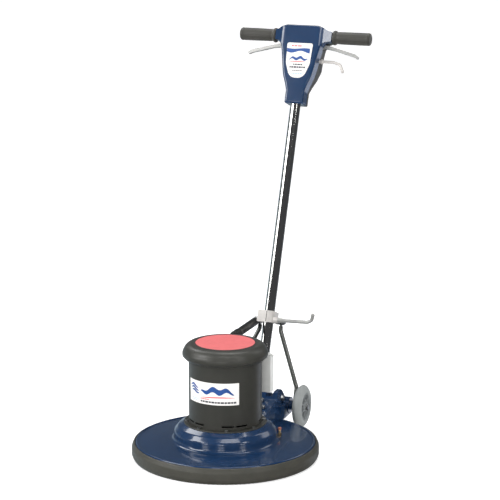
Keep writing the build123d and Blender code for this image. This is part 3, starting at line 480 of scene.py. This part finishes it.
def make_clamp_crease_shade():
    """A thin dark strip down the front of the strap: painted shade for the dark line at its crease."""
    pivot, up, back = handle_frame()
    crease_middle = -2.0
    section = ((-0.9, -19.7), (-0.5, -19.9), (0.5, -19.9), (0.9, -19.7), (0.9, -19.2), (-0.9, -19.2))
    verts = []
    for along in (223.5, 256.5):
        for across, depth in section:
            sideways = Vector(((across + crease_middle) * MM, 0, 0))
            verts.append(pivot + sideways + back * depth * MM + up * along * MM)
    faces = [tuple(range(5, -1, -1)), tuple(range(6, 12))]
    for edge in range(6):
        after = (edge + 1) % 6
        faces.append((edge, after, after + 6, edge + 6))
    # The dark rubber strip is painted shade, put where the strap's crease lies in shade.
    piece_from("clamp_crease_shade", verts, faces, "seal_rubber", "clamp", 20.0)


make_clamp_crease_shade()
lid_low, lid_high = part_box("capacitor_lid")
lid_screw_places = (
    (lid_high[0] - 9 * MM, lid_low[1] + 9 * MM, lid_high[2]),
    (lid_high[0] - 30 * MM, lid_high[1] - 8 * MM, lid_high[2]),
)
for number, centre in enumerate(lid_screw_places, 1):
    make_dome_screw(f"lid_screw_{number}", centre, (0, 0, 1), 3.4 * MM, "base")


# ---- printed labels --------------------------------------------------------------------------------
def ribbon(low, high, start, end, steps=24):
    """A strip of flat print between two curves of u, as pairs of (u, v) points."""
    us = [start + (end - start) * step / steps for step in range(steps + 1)]
    return [((u, low(u)), (u, high(u))) for u in us]


def print_piece(name, ribbons, place, finish, body):
    """Thin raised print: each ribbon becomes a closed sliver that follows the label's surface."""
    verts = []
    faces = []
    for strip in ribbons:
        first = len(verts)
        for low, high in strip:
            for point, lift in ((low, 0.0), (high, 0.0), (high, 1.0), (low, 1.0)):
                verts.append(place(point[0], point[1], lift))
        for step in range(len(strip) - 1):
            a = first + step * 4
            for edge in range(4):
                b = (edge + 1) % 4
                faces.append((a + edge, a + b, a + 4 + b, a + 4 + edge))
        last = first + (len(strip) - 1) * 4
        faces.append((first, first + 3, first + 2, first + 1))
        faces.append((last, last + 1, last + 2, last + 3))
    return piece_from(name, verts, faces, finish, body, 20.0)


def flat(value):
    """A level line."""
    return lambda u: value


def wave(level, height, length, phase=0.0):
    """A sine wave about a level."""
    return lambda u: level + height * sin(2 * pi * (u + phase) / length)


def taper(base, thickness, start, end):
    """A curve above another that thins out to nothing at both ends."""
    return lambda u: base(u) + thickness * sin(pi * (u - start) / (end - start)) ** 0.6


PRINT_LIFT = 0.10 * MM


def dashes(count, start, end, level, height, gap=0.3):
    """A row of short bars of uneven length, standing for a line of small print."""
    weights = [1.0 + 0.8 * ((number * 7) % 5) / 4 for number in range(count)]
    unit = (end - start) / (sum(weights) + gap * (count - 1))
    strips = []
    u = start
    for weight in weights:
        strips.append(ribbon(flat(level), flat(level + height), u, u + weight * unit, 4))
        u += (weight + gap) * unit
    return strips


def swoosh(level, height, length, thickness, start, end, phase=0.0):
    """A wave of ribbon that is thickest in the middle."""
    lower = wave(level, height, length, phase)
    return ribbon(lower, taper(lower, thickness, start, end), start + 0.02 * MM, end - 0.02 * MM, 60)


# The drum label: u runs round the drum to the right in metres of arc, v is the height above its middle.
drum_low, drum_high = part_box("drum_label")
drum_radius = -drum_low[1]
drum_middle = (drum_low[2] + drum_high[2]) / 2


def on_drum(u, v, lift):
    """A point on the drum label, with lift 1 for the print's face."""
    radius = drum_radius + 0.02 * MM + lift * PRINT_LIFT
    angle = u / drum_radius
    return (radius * sin(angle), -radius * cos(angle), drum_middle + v)


drum_ribbon = swoosh(1 * MM, 4.5 * MM, 40 * MM, 17 * MM, -38 * MM, 64 * MM, 8 * MM)
drum_crest = [swoosh((14 - 8 * number) * MM, 3.5 * MM, 40 * MM, 6.5 * MM, (-84 + 4 * number) * MM,
                     (-46 + 2 * number) * MM) for number in range(3)]
print_piece("drum_print_blue", [drum_ribbon] + drum_crest, on_drum, "ink_blue", "base")
print_piece("drum_print_red", [swoosh(-12 * MM, 1.2 * MM, 150 * MM, 3.4 * MM, -38 * MM, 66 * MM)]
            + dashes(4, -38 * MM, -10 * MM, -18 * MM, 2.6 * MM), on_drum, "ink_red", "base")
print_piece("drum_print_dark", dashes(12, -38 * MM, 70 * MM, -27 * MM, 5.2 * MM), on_drum, "ink_dark", "base")
print_piece("drum_print_sky", dashes(4, -74 * MM, -46 * MM, -21 * MM, 1.6 * MM)
            + dashes(3, -74 * MM, -52 * MM, -25.5 * MM, 1.6 * MM), on_drum, "ink_sky", "base")


# The head label: u runs to the right, v runs up the handle, both from the label's middle.
tube_up, rearward = handle_frame()[1:]
head_low, head_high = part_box("head_label")
head_middle = (Vector(head_low) + Vector(head_high)) / 2
LABEL_HALF_THICKNESS = 0.2 * MM


def on_head(u, v, lift):
    """A point on the head label, with lift 1 for the print's face."""
    out = LABEL_HALF_THICKNESS + 0.02 * MM + lift * PRINT_LIFT
    return head_middle + Vector((u, 0, 0)) + tube_up * v - rearward * out


def head_band():
    """The broad band across the top of the head label."""
    lower = wave(26 * MM, 3.5 * MM, 60 * MM, 10 * MM)
    upper = wave(37 * MM, 1.5 * MM, 80 * MM)
    return ribbon(lower, upper, -39.8 * MM, 34 * MM, 60)


print_piece("head_print_blue", [head_band(), swoosh(2 * MM, 3.0 * MM, 26 * MM, 9.5 * MM, -31 * MM, 31 * MM)],
            on_head, "ink_blue", "handle")
print_piece("head_print_red", [swoosh(-5.5 * MM, 0.6 * MM, 90 * MM, 2.6 * MM, -29 * MM, 29 * MM)]
            + dashes(3, -26 * MM, 6 * MM, 43 * MM, 3.4 * MM), on_head, "ink_red", "handle")
print_piece("head_print_dark", dashes(4, -15 * MM, 15 * MM, -15 * MM, 4.2 * MM)
            + dashes(7, -25 * MM, 25 * MM, -24 * MM, 5.4 * MM)
            + dashes(5, -16 * MM, 16 * MM, -33 * MM, 2.6 * MM), on_head, "ink_dark", "handle")
print_piece("head_print_sky", dashes(5, -17 * MM, 17 * MM, -42 * MM, 2.4 * MM), on_head, "ink_sky", "handle")


# ---- stage, lights and camera ----------------------------------------------------------------------
def make_stage():
    """A pale floor that curves up into a pale backdrop, the same from every side."""
    flat_radius = 6.0
    bend = 3.0
    top = 6.5
    bend_steps = 12
    count = 72
    below_wheels = 0.0002
    rows = [(0.0, 0.0), (2.5, 0.0), (flat_radius, 0.0)]
    for step in range(1, bend_steps + 1):
        angle = radians(90) * step / bend_steps
        rows.append((flat_radius + bend * sin(angle), bend - bend * cos(angle)))
    rows.append((flat_radius + bend, top))
    verts = []
    for radius, height in rows:
        for step in range(count):
            angle = 2 * pi * step / count
            verts.append((radius * cos(angle), radius * sin(angle), height - below_wheels))
    faces = []
    for row in range(len(rows) - 1):
        for step in range(count):
            after = (step + 1) % count
            faces.append((row * count + step, row * count + after, (row + 1) * count + after,
                          (row + 1) * count + step))
    mesh = bpy.data.meshes.new("studio_floor")
    mesh.from_pydata(verts, [], faces)
    mesh.shade_smooth()
    made = bpy.data.objects.new("studio_floor", mesh)
    bpy.context.scene.collection.objects.link(made)
    white = material("studio_white", (0.9, 0.9, 0.9), roughness=0.9, swing=0.03, mottle=(1.0, 0.005),
                     grain=(30.0, 0.02), specular=0.1)
    shader = white.node_tree.nodes["Principled BSDF"]
    shader.inputs["Emission Color"].default_value = (1.0, 1.0, 1.0, 1.0)
    shader.inputs["Emission Strength"].default_value = STAGE_GLOW
    mesh.materials.append(white)
    made.visible_glossy = False


def area_light(name, azimuth, elevation, distance, size, power):
    """A soft box that looks at the middle of the machine from an azimuth and an elevation in degrees."""
    target = Vector((0.0, 0.15, 0.45))
    turn, rise = radians(azimuth), radians(elevation)
    back = Vector((sin(turn) * cos(rise), -cos(turn) * cos(rise), sin(rise)))
    data = bpy.data.lights.new(name, "AREA")
    data.shape = "RECTANGLE"
    data.size, data.size_y = size
    data.energy = power
    made = bpy.data.objects.new(name, data)
    bpy.context.scene.collection.objects.link(made)
    made.location = target + back * distance
    made.rotation_euler = back.to_track_quat("Z", "Y").to_euler()


def make_lights():
    """A key from the left, lamps low in front, one for the head's facet, and soft boxes all round."""
    area_light("key_softbox", -50, 34, 4.2, (2.4, 1.2), 80.0)
    area_light("overhead_strip", 29, 50, 4.2, (3.2, 0.8), 45.0)
    area_light("front_lamp_left", -23, 5, 4.0, (0.8, 0.9), 16.0)
    area_light("front_lamp_middle", 11, 5, 4.0, (0.8, 0.9), 14.0)
    area_light("front_lamp_right", 57, 5, 4.0, (0.8, 0.9), 12.0)
    area_light("facet_lamp", 64.5, 34.5, 4.2, (0.6, 0.6), 14.0)
    area_light("left_front_lamp", -60, 17, 4.0, (0.7, 1.0), 16.0)
    area_light("right_softbox", 135, 32, 4.2, (1.6, 2.2), 22.0)
    area_light("top_softbox", 180, 74, 4.4, (2.8, 1.6), 78.0)
    area_light("left_softbox", -118, 44, 4.2, (1.4, 1.8), 42.0)


def make_world():
    """A dim studio: paler low down behind the machine on its left, with one bright sweep behind its right."""
    world = bpy.data.worlds.new("studio")
    bpy.context.scene.world = world
    world.use_nodes = True
    tree = world.node_tree
    direction = add_node(tree, "ShaderNodeTexCoord").outputs["Generated"]
    pale_side = Vector((-sin(radians(55)), cos(radians(55)), 0.0))
    behind = spread(tree, dot_product(tree, direction, pale_side), 0.0, 1.0, 0.2, 0.95)
    height = add_node(tree, "ShaderNodeSeparateXYZ", None, {"Vector": direction}).outputs["Z"]
    low = spread(tree, height, 1.0, 0.14, -0.05, 0.16)
    pale = multiply(tree, behind, low)
    dim = blend_colour(tree, pale, (0.07, 0.07, 0.075, 1.0), (0.50, 0.60, 0.66, 1.0))
    sweep = Vector((0.41, 0.86, -0.31)).normalized()
    bright = spread(tree, dot_product(tree, direction, sweep), 0.0, 1.0, 0.984, 0.993)
    colour = blend_colour(tree, bright, dim, (1.1, 1.15, 1.3, 1.0))
    background = tree.nodes["Background"]
    tree.links.new(colour, background.inputs["Color"])
    background.inputs["Strength"].default_value = 1.0


def make_camera():
    """The camera at the photo's angle."""
    data = bpy.data.cameras.new("camera")
    data.lens = CAMERA_LENS
    data.clip_end = 60.0
    made = bpy.data.objects.new("camera", data)
    bpy.context.scene.collection.objects.link(made)
    turn = radians(CAMERA_AZIMUTH)
    made.location = (sin(turn) * CAMERA_DISTANCE, -cos(turn) * CAMERA_DISTANCE, CAMERA_HEIGHT)
    made.rotation_euler = (radians(90 - CAMERA_PITCH), 0.0, radians(CAMERA_AZIMUTH - CAMERA_YAW))
    bpy.context.scene.camera = made


make_stage()
make_lights()
make_world()
make_camera()
bpy.context.scene.view_settings.view_transform = "Standard"
